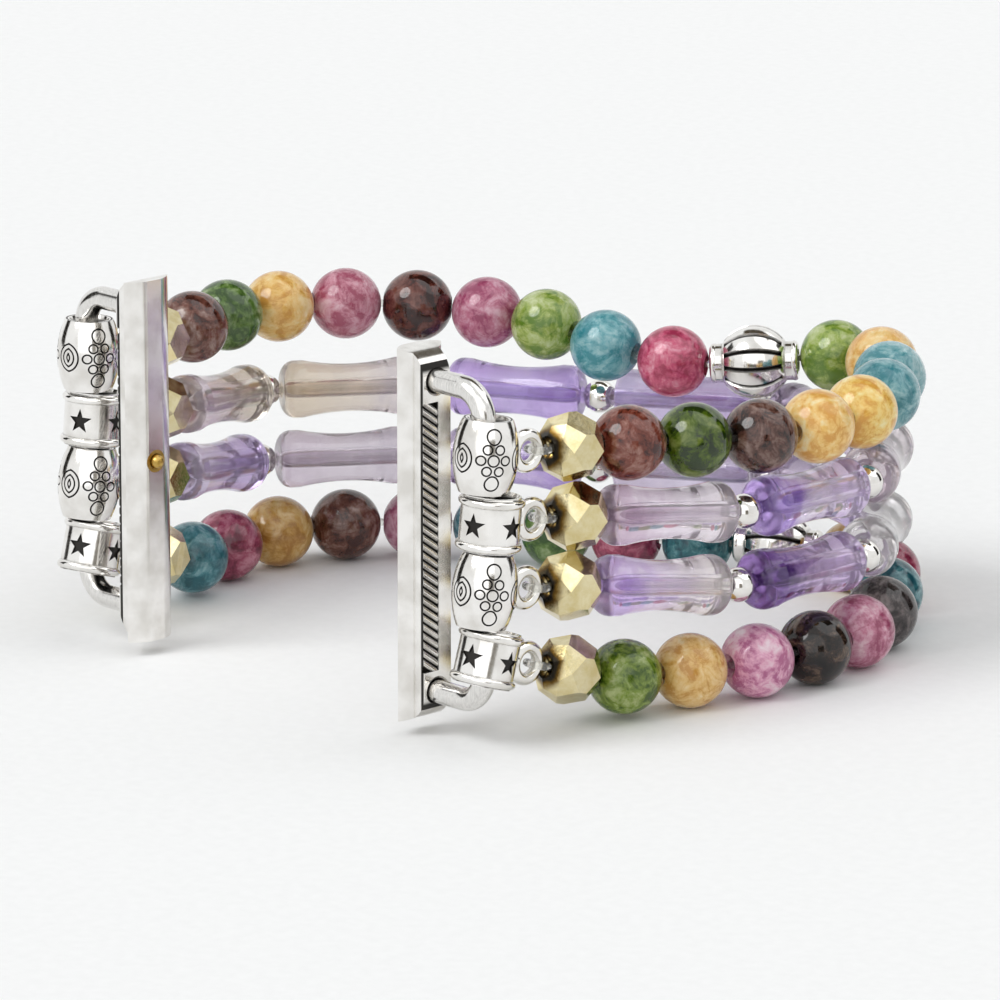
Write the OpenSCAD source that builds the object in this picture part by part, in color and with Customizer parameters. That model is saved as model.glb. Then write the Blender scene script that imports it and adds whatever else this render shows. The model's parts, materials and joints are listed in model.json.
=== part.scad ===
/* [View] */
// Which sub-part to draw, or all of them

/* [Strap] */
// Diameter of a round stone
bead_d = 6.4; // [5:0.1:8]
// Space left between two beads on a strand
bead_gap = 0.1; // [0.05:0.05:0.4]
// Distance between two strands where they run side by side
row_pitch = 6.5; // [6.2:0.1:8]
// Distance of each bow bar from the middle of the opening
bar_x = 25; // [20:0.5:30]
// Direction in which the strands leave the near bar, in degrees from the opening
start_turn = 92; // [80:1:100]
// Height at which the connectors are held above the floor
lift = 1.3; // [0:0.1:3]
// Length of strand over which the lowest row comes down to the floor
low_settle_l = 20; // [16:1:30]
// Length over which the other rows settle to their own pitch
settle_l = 36; // [30:1:50]
// The same for the top row on its way to the far bar
slow_settle_l = 74; // [30:1:85]
// How far the slack top row slips inward past the bend
slump_in = 4.6; // [0:0.1:5.6]
// How far it sinks there beside the row below
slump_down = 1.8; // [0:0.1:2]
// Move that sets the origin under the middle of the strap
origin_x = 0.58; // [-10:0.01:10]
origin_y = -29.86; // [-60:0.01:0]

/* [Faceted beads] */
// Diameter across the corners at the middle
gold_d = 6; // [5:0.1:8]
// Length along the hole
gold_l = 5.6; // [4:0.1:7]
// Facets round the middle
gold_n = 6; // [6:2:12]

/* [Tubes] */
// Diameter at the ends of a tube
tube_end_d = 5.2; // [4:0.1:6]
// Diameter at the waist
tube_waist_d = 4.3; // [3:0.1:5.2]
// Rounding of the end rims
tube_round = 1.2; // [0.4:0.1:2]
// What eight straight tubes lose on the bends, for each tube
tube_ease = 0.36; // [0:0.01:1]
// Diameter of the small silver ball between two tubes
ball_d = 3; // [2:0.1:4]

/* [Fluted bead] */
// Length of the fluted silver bead
guru_l = 8; // [6:0.1:12]
// Diameter at the middle
guru_d = 6.6; // [5:0.1:9]
// Number of flutes
guru_n = 12; // [8:1:16]

/* [Cord] */
// Thickness of the elastic cord
cord_d = 0.6; // [0.4:0.1:1]
// Hole through the stones, the balls and the faceted beads
bead_bore = 1.1; // [1:0.1:1.5]

/* [Bails] */
// Height of the flower barrel
barrel_h = 6.2; // [5:0.1:8]
// Diameter of the barrel at the middle
barrel_d = 5.5; // [5:0.1:7]
// Diameter of the barrel at its ends
barrel_end_d = 4.2; // [4:0.1:5]
// Hole through the barrel
barrel_bore = 3; // [2.5:0.1:3.4]
// Height of the star tube
star_h = 4.7; // [4:0.1:6]
// Diameter of the star tube
star_d = 5.1; // [4.8:0.1:6]
// Diameter of its rims
rim_d = 5.6; // [5:0.1:7]
// Hole through the star tube
star_bore = 4; // [3:0.1:4.2]
// Space between two bails on the bar
bail_gap = 0.3; // [0.1:0.05:0.5]
// How far the pull of the cord draws a barrel off the bar's middle
barrel_pull = 0.2; // [0:0.05:0.25]
// How far it draws a star tube
star_pull = 0.7; // [0:0.05:0.8]
// Depth of the cast ornament
carve = 0.16; // [0.05:0.01:0.3]
// Distance of the ring's middle from the bail's middle
ring_reach = 4.65; // [4:0.05:6]
// Radius to the middle of the ring's wire
ring_r = 1.37; // [1:0.01:2]
// Thickness of the ring's wire
ring_wire = 1.06; // [0.6:0.02:1.4]

/* [Connectors] */
// Length of the adapter
lug_l = 32; // [28:0.5:36]
// Depth of the adapter
lug_t = 3.3; // [2.5:0.1:5]
// Width of the rail in the watch's groove
rail_w = 5; // [4:0.1:7]
// Width of the neck
neck_w = 3; // [2.6:0.1:4]
// Radius of the adapter's outer corners
corner_r = 2.6; // [1:0.1:3]
// Distance from the neck's face to the bar's middle
bow_reach = 5.6; // [5:0.1:8]
// Distance between the bow's two legs
leg_pitch = 26.7; // [24:0.1:28]
// Thickness of the bow's wire
wire_d = 2; // [1.6:0.05:2.2]
// Bend of the bow's wire
bow_bend = 2.5; // [2:0.1:4]
// Height of the top barrel's upper end above the bar's middle
stack_top = 11.1; // [10:0.1:12]

/* [Detent] */
// Diameter of the plunger's head
plunger_head_d = 1.2; // [0.8:0.1:1.6]
// Diameter of the plunger's skirt
plunger_d = 1.84; // [1.5:0.02:2]
// How far the head stands out of the rail
plunger_out = 0.75; // [0.4:0.05:1]
// Travel of the plunger
plunger_travel = 0.6; // [0.3:0.05:0.8]
// Running gap round the plunger
slip = 0.08; // [0.05:0.01:0.1]

/* [Hidden] */
$fn = 64;
step = 0.01;
silver = [0.82, 0.81, 0.79];
gold = [0.79, 0.68, 0.40];
clear = [0.88, 0.88, 0.86];

// Height of the connectors' middle above the floor
mid_z = lug_l / 2 + lift;
// Heights of the bails on the bar, from the top down
bail_h = [barrel_h, star_h, barrel_h, star_h];
// A steeper strand tips its bail, and that bail hangs nearer to the bar's middle
pull = [barrel_pull, star_pull, barrel_pull / 3, star_pull / 2];
function bail_z(k) = k == 0
    ? mid_z + stack_top - bail_h[0] / 2
    : bail_z(k - 1) - bail_h[k - 1] / 2 - bail_gap - bail_h[k] / 2;
// Heights of the rows once they have settled, the lowest on the floor
function row_z(k) = bead_d / 2 + (3 - k) * row_pitch;

ring_out = ring_r + ring_wire / 2;
// Length of the round rows between the two bars
round_l = 2 * (barrel_pull + ring_reach + ring_out + gold_l + bead_gap) + 18 * bead_d + guru_l
    + 20 * bead_gap;
// The rest of it is lost where straight links cut the bends
path_l = round_l * 1.0045;
// Tubes fill the same length
tube_l = (18 * bead_d + guru_l + 20 * bead_gap - 7 * ball_d - 16 * bead_gap) / 8 - tube_ease;

// The loop as seen from above: share of the length and turn in degrees
bends = [
    [0.165, -20], [0.09, 27], [0.07, 28], [0.08, 11], [0.09, 79],
    [0.06, -3], [0.12, -9.16], [0.1, 36], [0.09, 51.2], [0.135, -15]
];

function plan(s, i = 0, p = [bar_x, 0], h = start_turn) =
    let (
        l = bends[i][0] * path_l,
        last = i == len(bends) - 1,
        d = last ? s : min(s, l),
        t = bends[i][1] * d / l,
        r = l * 180 / (PI * bends[i][1]),
        q = p + r * [sin(h + t) - sin(h), cos(h) - cos(h + t)]
    )
    last || s <= l ? q : plan(s - l, i + 1, q, h + t);

// Share of its own height that a row has reached: a straight pull first, then an easy end
straight = 0.6;
function settle(s, l) =
    let (t = max(0, min(1, s / l)))
    t < straight ? 2 * t / (1 + straight) : 1 - (1 - t) * (1 - t) / (1 - straight * straight);
// A smooth rise and fall between two lengths of strand
function hump(s, from, top, to) =
    s <= from || s >= to ? 0
    : s < top ? (1 - cos(180 * (s - from) / (top - from))) / 2
    : (1 - cos(180 * (to - s) / (to - top))) / 2;
slump_from = 0.36;
slump_top = 0.56;
function along(k, s) =
    let (
        p = plan(s),
        near = settle(s, k == 3 ? low_settle_l : settle_l),
        far = settle(path_l - s, k == 3 ? low_settle_l : k == 0 ? slow_settle_l : settle_l),
        z = bail_z(k) + (row_z(k) - bail_z(k)) * near * far,
        way = plan(s + 0.5) - plan(s - 0.5),
        inward = [-way.y, way.x] / norm(way),
        aside = k == 0 ? slump_in * hump(s / path_l, slump_from, slump_top, 0.7) : 0,
        down = k == 0 ? slump_down * hump(s / path_l, slump_from, slump_top - 0.005, 0.65) : 0
    )
    [p.x + aside * inward.x, p.y + aside * inward.y, z - down];

// Distances between the centres on a row: bar, ring, faceted bead, beads, and back again
function ends_in(k) = [pull[k] + ring_reach, ring_out + bead_gap + gold_l / 2];
function ends_out(k) = [ring_out + bead_gap + gold_l / 2, pull[k] + ring_reach];
function round_row(k) = k == 0 || k == 3;
function links(k, g) = round_row(k)
    ? concat(ends_in(k), [gold_l / 2 + g + bead_d / 2], [for (i = [1:8]) bead_d + g],
        [for (i = [1:2]) bead_d / 2 + g + guru_l / 2], [for (i = [1:8]) bead_d + g],
        [gold_l / 2 + g + bead_d / 2], ends_out(k))
    : concat(ends_in(k), [gold_l / 2 + 2 * g + tube_l + ball_d / 2],
        [for (i = [1:6]) ball_d + 2 * g + tube_l], [gold_l / 2 + 2 * g + tube_l + ball_d / 2],
        ends_out(k));

// Steps along the row so that each centre is one link from the last
function reach(k, p, t, d, n) = n == 0 ? t : reach(k, p, t + d - norm(along(k, t) - p), d, n - 1);
function walk(k, l, i = 0, s = 0) = i == len(l)
    ? [s]
    : concat([s], walk(k, l, i + 1, reach(k, along(k, s), s + l[i], l[i], 7)));
// The gap that makes the row end at the far bar
function row_end(k, g) = let (w = walk(k, links(k, g))) w[len(w) - 1];
function closing_gap(k, g, n) = n == 0
    ? g
    : closing_gap(k, g + (path_l - row_end(k, g)) / (round_row(k) ? 20 : 16), n - 1);
gaps = [for (k = [0:3]) closing_gap(k, bead_gap, 4)];
centres = [for (k = [0:3]) [for (s = walk(k, links(k, gaps[k]))) along(k, s)]];

function unit(v) = v / norm(v);
function last_of(k) = len(centres[k]) - 1;
// Direction of the hole of bead i: between those of its two neighbours
function hole_dir(k, i) =
    unit(unit(centres[k][i + 1] - centres[k][i]) + unit(centres[k][i] - centres[k][i - 1]));
function half_l(k, i) =
    i == 2 || i == last_of(k) - 2 ? gold_l / 2
    : !round_row(k) ? ball_d / 2
    : i == 12 ? guru_l / 2
    : bead_d / 2;
function turn_to(d) = [asin(d.z), 0, atan2(d.y, d.x) - 90];
module set_along(p, d) translate(p) rotate(turn_to(d)) children();

// Where the strap stands: every sub-part goes through this
module stand() translate([origin_x, origin_y, 0]) children();

far_bar = plan(path_l);
module at_near() stand() translate([bar_x, 0, mid_z]) children();
module at_far() stand() translate([far_bar.x, far_bar.y, mid_z]) rotate([0, 180, 0]) children();

// Adapter: a rail with rounded ends, seen with its bar on the upright axis and its body on the left
face_x = -bow_reach;
back_x = face_x - lug_t;
lens_t = 2.4;
lens_r = (rail_w * rail_w / 4 + lens_t * lens_t / 4) / lens_t;
lens_x = back_x + 1.1;

module lug_section() {
    intersection() {
        union() {
            intersection() {
                translate([lens_x + lens_r - lens_t / 2, 0]) circle(r = lens_r, $fn = 128);
                translate([lens_x - lens_r + lens_t / 2, 0]) circle(r = lens_r, $fn = 128);
            }
            translate([lens_x, -neck_w / 2]) square([face_x - lens_x, neck_w]);
        }
        translate([back_x, -rail_w]) square([lug_t, 2 * rail_w]);
    }
}

module lug_side() {
    flat = lug_t - corner_r;
    translate([back_x - 1, -lug_l / 2]) square([flat + 1, lug_l]);
    translate([back_x, -lug_l / 2 + corner_r]) square([lug_t, lug_l - 2 * corner_r]);
    for (s = [-1, 1]) translate([back_x + flat, s * (lug_l / 2 - corner_r)]) circle(r = corner_r);
}

rope_l = leg_pitch - wire_d - 1.6;
rope_w = 1.5;
rope_deep = 0.4;
rope_n = 30;
chamber_r = plunger_d / 2 + slip;
chamber_l = 2.25;
collar_t = 0.3;
module lug() color(silver) {
    difference() {
        intersection() {
            linear_extrude(lug_l, center = true) lug_section();
            rotate([90, 0, 0]) linear_extrude(rail_w + 2, center = true) lug_side();
        }
        for (s = [-1, 1]) translate([face_x - 2.5, 0, s * leg_pitch / 2]) rotate([0, 90, 0]) {
            cylinder(d = wire_d + 0.03, h = 4);
            translate([0, 0, 2.22]) cylinder(d1 = wire_d, d2 = wire_d + 0.7, h = 0.32);
        }
        translate([face_x - rope_deep, -rope_w, -rope_l / 2]) cube([1, rope_w + 0.1, rope_l]);
        translate([back_x - step, 0, 0]) rotate([0, 90, 0]) cylinder(r = chamber_r, h = chamber_l);
    }
    // Cast rope in the sunk front half of the face
    intersection() {
        translate([face_x - rope_deep - 0.2, -rope_w, -rope_l / 2]) cube([1, rope_w + 0.08, rope_l]);
        for (i = [0:rope_n - 1])
            translate([face_x - rope_deep + 0.02, -rope_w / 2, (i - (rope_n - 1) / 2) * rope_l / rope_n])
                rotate([55, 0, 0]) cylinder(r = 0.32, h = 2.4, center = true, $fn = 24);
    }
}

// Bow: two legs pressed into the adapter and the bar between them
module bow() color(silver) {
    leg = leg_pitch / 2;
    cylinder(d = wire_d, h = leg_pitch - 2 * bow_bend, center = true);
    for (s = [0, 1]) mirror([0, 0, s]) {
        translate([-bow_bend, 0, leg - bow_bend]) rotate([90, 0, 0])
            rotate_extrude(angle = 90) translate([bow_bend, 0]) circle(d = wire_d);
        translate([face_x - 2.3, 0, leg]) rotate([0, 90, 0])
            cylinder(d = wire_d, h = 2.3 + bow_reach - bow_bend);
    }
}

// Detent: plunger, the spring behind it and the collar that keeps it in
skirt_x = back_x + collar_t + 0.02;
skirt_l = chamber_l - collar_t - plunger_travel - 0.06;
spring_l = plunger_travel + 0.3;
module plunger() color(gold) difference() {
    union() {
        translate([skirt_x, 0, 0]) rotate([0, 90, 0]) cylinder(d = plunger_d, h = skirt_l);
        translate([back_x - plunger_out + plunger_head_d / 2, 0, 0]) {
            sphere(d = plunger_head_d);
            rotate([0, 90, 0])
                cylinder(d = plunger_head_d, h = plunger_out - plunger_head_d / 2 + collar_t + 0.1);
        }
    }
    translate([skirt_x + 0.35, 0, 0]) rotate([0, 90, 0]) cylinder(d = 1.2, h = 3);
}

module spring() color(silver) translate([back_x + chamber_l - spring_l - step, 0, 0]) rotate([0, 90, 0])
    difference() {
        cylinder(d = 1, h = spring_l);
        translate([0, 0, -1]) cylinder(d = 0.56, h = spring_l + 2);
    }

module collar() color(gold) translate([back_x + 0.01, 0, 0]) rotate([0, 90, 0]) difference() {
    cylinder(r = chamber_r - 0.005, h = collar_t - 0.01);
    translate([0, 0, -1]) cylinder(d = plunger_head_d + 2 * slip, h = 3);
}

// Bails: the hole is upright and the ring is on the +Y side
module bail_ring() {
    translate([0, ring_reach, 0]) rotate([0, 90, 0]) rotate_extrude()
        translate([ring_r, 0]) circle(d = ring_wire, $fn = 32);
    translate([0, 2, 0]) rotate([-90, 0, 0]) cylinder(d = 1.3, h = ring_reach - ring_r - 2);
}

barrel_bow = (barrel_d - barrel_end_d) / 2;
barrel_r = (barrel_h * barrel_h / 4 + barrel_bow * barrel_bow) / (2 * barrel_bow);
module barrel_skin(cut) {
    rotate_extrude() intersection() {
        translate([barrel_d / 2 - barrel_r, 0]) circle(r = barrel_r - cut, $fn = 160);
        translate([0, -barrel_h / 2]) square([barrel_d, barrel_h]);
    }
}

// Flower: eight outlines round a dot, a large petal above and below
module ring_line(r, w) difference() {
    circle(r = r + w / 2, $fn = 32);
    circle(r = r - w / 2, $fn = 32);
}
module petal_line(y0, y1, r0, r1, w) difference() {
    union() {
        translate([0, y0]) circle(r = r0 + w / 2, $fn = 32);
        translate([0, y1]) circle(r = r1 + w / 2, $fn = 32);
        polygon([[-r0 - w / 2, y0], [r0 + w / 2, y0], [r1 + w / 2, y1], [-r1 - w / 2, y1]]);
    }
    translate([0, y0]) circle(r = r0 - w / 2, $fn = 32);
    translate([0, y1]) circle(r = r1 - w / 2, $fn = 32);
    polygon([[-r0 + w / 2, y0], [r0 - w / 2, y0], [r1 - w / 2, y1], [-r1 + w / 2, y1]]);
}
module flower() {
    line = 0.14;
    ring_line(0.47, line);
    for (a = [0:60:300]) rotate(a) translate([1.04, 0]) ring_line(0.38, line);
    for (s = [0, 1]) mirror([0, s]) petal_line(1.82, 1.98, 0.5, 0.59, line);
}
module whorl() for (r = [0.4, 0.81, 1.22]) difference() {
    ring_line(r, 0.15);
    translate([-0.15, -2]) square([4, 4]);
}

module out_at(a) rotate([90, 0, a + 180]) translate([0, 0, 1.2]) linear_extrude(3) children();
module barrel_bail() {
    difference() {
        union() {
            barrel_skin(0);
            bail_ring();
        }
        difference() {
            union() {
                for (a = [-120, 120]) out_at(a) flower();
                for (a = [-60, 60, 180]) for (s = [0, 1]) out_at(a) mirror([s, 0])
                    translate([0.25, 0]) whorl();
            }
            barrel_skin(carve);
            translate([-2.5, 1.5, -1.2]) cube([5, 6, 2.4]);
        }
        cylinder(d = barrel_bore, h = barrel_h + 2, center = true);
        for (s = [0, 1]) mirror([0, 0, s]) translate([0, 0, barrel_h / 2 - 0.6])
            cylinder(d1 = barrel_bore, d2 = barrel_bore + 0.52, h = 0.62);
    }
}

module star(r) polygon([for (i = [0:9]) (i % 2 == 0 ? r : r * 0.42) * [sin(36 * i), cos(36 * i)]]);
star_at = [110, 192, 274];
module star_bail() {
    low_rim = 0.9;
    top_rim = 1.1;
    difference() {
        union() {
            cylinder(d = star_d, h = star_h - 0.4, center = true);
            rotate_extrude() {
                for (z = [-star_h / 2 + low_rim / 2, star_h / 2 - top_rim / 2])
                    translate([rim_d / 2 - 0.36, z]) circle(r = 0.36, $fn = 32);
                translate([1.5, -star_h / 2]) square([rim_d / 2 - 1.86, low_rim]);
                translate([1.5, star_h / 2 - top_rim]) square([rim_d / 2 - 1.86, top_rim]);
                translate([rim_d / 2 - 0.55, star_h / 2 - 0.28]) circle(r = 0.26, $fn = 32);
                translate([rim_d / 2 - 0.55, -star_h / 2 + 0.25]) circle(r = 0.24, $fn = 32);
            }
            bail_ring();
        }
        difference() {
            for (a = star_at) rotate([90, 0, a + 180]) translate([0, 0, 1.5])
                linear_extrude(2) translate([0, -0.1]) star(1.12);
            cylinder(d = star_d - 2 * carve, h = star_h, center = true);
        }
        cylinder(d = star_bore, h = star_h + 2, center = true);
        for (s = [0, 1]) mirror([0, 0, s]) translate([0, 0, star_h / 2 - 0.6])
            cylinder(d1 = star_bore, d2 = star_bore + 0.6, h = 0.62);
    }
}

module bail(k, far) stand() color(silver) {
    n = last_of(k);
    bar = far ? centres[k][n] : centres[k][0];
    way = unit((far ? centres[k][n - 1] : centres[k][1]) - bar);
    set_along(bar + pull[k] * way, way) {
        if (round_row(k) ? k == 0 : k == 2) barrel_bail();
        else star_bail();
    }
}

// Faceted bead: on each side of its ring of flats a ring of diamonds and a ring of pole facets
module slab(h) cube([20, 20, 2 * h], center = true);
module gold_bead() {
    half = 180 / gold_n;
    flat = gold_d / 2 * 0.99 * cos(half);
    difference() {
        intersection() {
            slab(gold_l / 2);
            intersection_for (i = [0:gold_n / 2 - 1]) rotate([0, 90, 2 * half * i]) slab(flat);
            intersection_for (i = [0:gold_n - 1])
                rotate([0, 57, 2 * half * i + half]) slab(gold_d / 2 * 0.908);
            intersection_for (i = [0:gold_n - 1])
                rotate([0, 30, 2 * half * i]) slab(gold_d / 2 * 0.882);
        }
        cylinder(d = bead_bore, h = 10, center = true);
        for (s = [0, 1]) mirror([0, 0, s]) translate([0, 0, gold_l / 2 - 0.9])
            cylinder(r1 = bead_bore / 2, r2 = 1.3, h = 0.92);
    }
}
module gold_at(k, far) stand() color(gold) {
    i = far ? last_of(k) - 2 : 2;
    set_along(centres[k][i], hole_dir(k, i)) rotate([90, 0, 0]) gold_bead();
}

// Fluted bead: a ball with grooves along its length and a collar at each end
module guru(k) stand() color(silver) {
    collar_z = guru_l / 2 - 0.42;
    set_along(centres[k][12], hole_dir(k, 12)) rotate([90, 0, 0]) difference() {
        union() {
            difference() {
                sphere(d = guru_d, $fn = 96);
                for (i = [0:guru_n / 2 - 1]) rotate([0, 0, 360 / guru_n * i]) intersection() {
                    cube([2 * guru_d, 2, guru_d * 0.78], center = true);
                    rotate([90, 0, 0]) rotate_extrude() polygon([[guru_d / 2 - 0.36, 0],
                        [guru_d / 2 + 0.3, 0.46], [guru_d / 2 + 0.3, -0.46]]);
                }
            }
            cylinder(r = 1.72, h = 2 * collar_z, center = true);
            for (s = [-1, 1]) translate([0, 0, s * collar_z]) rotate_extrude()
                translate([1.42, 0]) circle(r = 0.35, $fn = 32);
        }
        cylinder(d = 1.8, h = guru_l + 2, center = true);
    }
}

// Waisted tube with rounded rims
module tube(k, n) stand() color([0.58, 0.48, 0.72]) {
    a = centres[k][n + 1];
    b = centres[k][n + 2];
    h = tube_l / 2;
    er = tube_end_d / 2;
    wr = tube_waist_d / 2;
    reach_w = 4.3;
    groove = (reach_w * reach_w + (er - wr) * (er - wr)) / (2 * (er - wr));
    // The first and last tubes have a faceted bead on one side and a ball on the other
    lead = (n == 1 ? gold_l : ball_d) / 2 + gaps[k] + h;
    set_along(a + lead * unit(b - a), unit(b - a)) rotate([90, 0, 0]) difference() {
        rotate_extrude() difference() {
            union() {
                translate([0, -h + tube_round]) square([er, 2 * h - 2 * tube_round]);
                translate([0, -h]) square([er - tube_round, 2 * h]);
                for (s = [-1, 1]) translate([er - tube_round, s * (h - tube_round)])
                    circle(r = tube_round);
            }
            translate([wr + groove, 0]) circle(r = groove, $fn = 200);
        }
        cylinder(d = bead_bore, h = tube_l + 2, center = true);
        for (s = [0, 1]) mirror([0, 0, s]) translate([0, 0, h - 0.3])
            cylinder(d1 = bead_bore, d2 = bead_bore + 0.5, h = 0.32);
    }
}

// Small balls: the hole widens to both sides, so the cord can bend in it
module balls(k) stand() color(silver) for (i = [3:9])
    set_along(centres[k][i], hole_dir(k, i)) rotate([90, 0, 0]) difference() {
        sphere(d = ball_d, $fn = 48);
        cylinder(d = 0.9, h = ball_d + 2, center = true);
        for (s = [0, 1]) mirror([0, 0, s]) translate([0, 0, 0.25])
            cylinder(r1 = 0.4, r2 = 1.12, h = ball_d / 2 - 0.2);
    }

// Round stones: kinds in the order in which they are strung
kinds = [
    ["brown", "green", "brown", "yellow", "yellow", "teal", "teal", "yellow", "green", "",
        "crimson", "teal", "green", "pink", "brown", "pink", "yellow", "green", "brown"],
    [], [],
    ["green", "yellow", "pink", "black", "pink", "black", "teal", "crimson", "yellow", "",
        "teal", "crimson", "green", "teal", "pink", "brown", "yellow", "crimson", "teal"]
];
tints = [
    ["brown", [0.50, 0.33, 0.29]], ["green", [0.40, 0.56, 0.26]], ["yellow", [0.90, 0.73, 0.40]],
    ["teal", [0.34, 0.60, 0.66]], ["crimson", [0.66, 0.20, 0.38]], ["pink", [0.78, 0.42, 0.56]],
    ["black", [0.16, 0.14, 0.15]]
];
function tint(c) = [for (t = tints) if (t[0] == c) t[1]][0];
module stones(c) stand() color(tint(c)) for (k = [0, 3]) for (i = [0:18]) if (kinds[k][i] == c)
    set_along(centres[k][i + 3], hole_dir(k, i + 3)) rotate([90, 0, 0]) difference() {
        sphere(d = bead_d, $fn = 96);
        cylinder(d = bead_bore, h = bead_d + 2, center = true);
        for (s = [0, 1]) mirror([0, 0, s]) translate([0, 0, bead_d / 2 - 0.6])
            cylinder(d1 = bead_bore, d2 = bead_bore + 1.4, h = 0.65);
    }

// Elastic cord: from bead to bead, tied round the limb of each ring
tie_r = ring_wire / 2 + cord_d / 2 + 0.06;
function mouth(k, i, s) = centres[k][i] + s * (half_l(k, i) - 0.75) * hole_dir(k, i);
function bail_way(k, far) =
    let (n = last_of(k)) unit(far ? centres[k][n - 1] - centres[k][n] : centres[k][1] - centres[k][0]);
function limb(k, far) = centres[k][far ? last_of(k) - 1 : 1] + ring_r * bail_way(k, far);
function tie_end(k, far) = limb(k, far) + tie_r * bail_way(k, far);
function joint_pt(k, i) =
    (centres[k][i] + half_l(k, i) * hole_dir(k, i)
        + centres[k][i + 1] - half_l(k, i + 1) * hole_dir(k, i + 1)) / 2;
// Where two neighbours bend unequally, the cord lies along the inner side of each hole
function kink(k, i) =
    acos(min(1, unit(centres[k][i + 1] - centres[k][i]) * unit(centres[k][i] - centres[k][i - 1])));
function inside(k, i) =
    let (v = unit(centres[k][i + 1] - centres[k][i]) - unit(centres[k][i] - centres[k][i - 1]))
    norm(v) < 0.01 ? [0, 0, 0] : max(0, (bead_bore - cord_d) / 2 - 0.08) * unit(v);
function in_hole(k, i, s) = centres[k][i] + s * (half_l(k, i) - 0.5) * hole_dir(k, i) + inside(k, i);
function between(k, i) = abs(kink(k, i) - kink(k, i + 1)) > 10
    ? [in_hole(k, i, 1), joint_pt(k, i), in_hole(k, i + 1, -1)]
    : [joint_pt(k, i)];
function run(k) = let (n = last_of(k)) concat(
    [tie_end(k, false), mouth(k, 2, -1)],
    round_row(k) ? [for (i = [2:n - 3]) for (p = between(k, i)) p] : concat(
        [mouth(k, 2, 1)], [for (i = [3:n - 3]) centres[k][i]], [mouth(k, n - 2, -1)]),
    [mouth(k, n - 2, 1), tie_end(k, true)]);

module cord(k) stand() color(clear) {
    inset = 0.1;
    p = run(k);
    for (i = [0:len(p) - 2]) {
        d = p[i + 1] - p[i];
        lead = i == 0 ? 0 : inset;
        tail = i == len(p) - 2 ? 0 : inset;
        set_along(p[i] + lead * unit(d), unit(d)) rotate([-90, 0, 0])
            cylinder(d = cord_d, h = norm(d) - lead - tail, $fn = 24);
    }
    for (i = [1:len(p) - 2]) set_along(p[i], unit(unit(p[i + 1] - p[i]) + unit(p[i] - p[i - 1])))
        rotate([-90, 0, 0]) rotate([0, 0, 40]) sphere(d = cord_d + 0.08, $fn = 24);
    for (far = [false, true]) set_along(limb(k, far), bail_way(k, far)) rotate_extrude()
        translate([tie_r, 0]) circle(d = cord_d + 0.06, $fn = 24);
}

at_near() lug();  // near_lug
at_near() bow();  // near_bow
at_near() plunger();  // near_plunger
at_near() spring();  // near_spring
at_near() collar();  // near_collar
at_far() lug();  // far_lug
at_far() bow();  // far_bow
at_far() plunger();  // far_plunger
at_far() spring();  // far_spring
at_far() collar();  // far_collar
bail(0, false);  // near_bail_1
bail(1, false);  // near_bail_2
bail(2, false);  // near_bail_3
bail(3, false);  // near_bail_4
bail(0, true);  // far_bail_1
bail(1, true);  // far_bail_2
bail(2, true);  // far_bail_3
bail(3, true);  // far_bail_4
gold_at(0, false);  // near_gold_1
gold_at(1, false);  // near_gold_2
gold_at(2, false);  // near_gold_3
gold_at(3, false);  // near_gold_4
gold_at(0, true);  // far_gold_1
gold_at(1, true);  // far_gold_2
gold_at(2, true);  // far_gold_3
gold_at(3, true);  // far_gold_4
guru(0);  // guru_1
guru(3);  // guru_4
balls(1);  // balls_2
balls(2);  // balls_3
tube(1, 1);  // tube_2_1
tube(1, 2);  // tube_2_2
tube(1, 3);  // tube_2_3
tube(1, 4);  // tube_2_4
tube(1, 5);  // tube_2_5
tube(1, 6);  // tube_2_6
tube(1, 7);  // tube_2_7
tube(1, 8);  // tube_2_8
tube(2, 1);  // tube_3_1
tube(2, 2);  // tube_3_2
tube(2, 3);  // tube_3_3
tube(2, 4);  // tube_3_4
tube(2, 5);  // tube_3_5
tube(2, 6);  // tube_3_6
tube(2, 7);  // tube_3_7
tube(2, 8);  // tube_3_8
stones("brown");  // stones_brown
stones("green");  // stones_green
stones("yellow");  // stones_yellow
stones("teal");  // stones_teal
stones("crimson");  // stones_crimson
stones("pink");  // stones_pink
stones("black");  // stones_black
cord(0);  // cord_1
cord(1);  // cord_2
cord(2);  // cord_3
cord(3);  // cord_4
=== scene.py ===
import bpy
import json
import math
import numpy as np
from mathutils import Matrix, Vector


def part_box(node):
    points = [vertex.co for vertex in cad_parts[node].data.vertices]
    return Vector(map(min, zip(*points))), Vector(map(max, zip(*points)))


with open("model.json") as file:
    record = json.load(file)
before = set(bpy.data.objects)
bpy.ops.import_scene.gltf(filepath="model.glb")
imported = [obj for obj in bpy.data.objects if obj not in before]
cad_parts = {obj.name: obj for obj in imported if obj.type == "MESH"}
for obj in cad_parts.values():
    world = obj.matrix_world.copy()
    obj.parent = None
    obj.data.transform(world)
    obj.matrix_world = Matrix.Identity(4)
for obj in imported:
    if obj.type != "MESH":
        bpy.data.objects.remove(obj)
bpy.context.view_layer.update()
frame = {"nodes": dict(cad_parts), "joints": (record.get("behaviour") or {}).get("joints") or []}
nodes = frame["nodes"]
joints = {j["name"]: j for j in frame["joints"]}
mm = 0.001


def linear(hexText):
    # sRGB hex to the linear values that sockets take
    parts = [int(hexText[i:i + 2], 16) / 255 for i in (1, 3, 5)]
    return [p / 12.92 if p <= 0.04045 else ((p + 0.055) / 1.055) ** 2.4 for p in parts] + [1.0]


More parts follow.
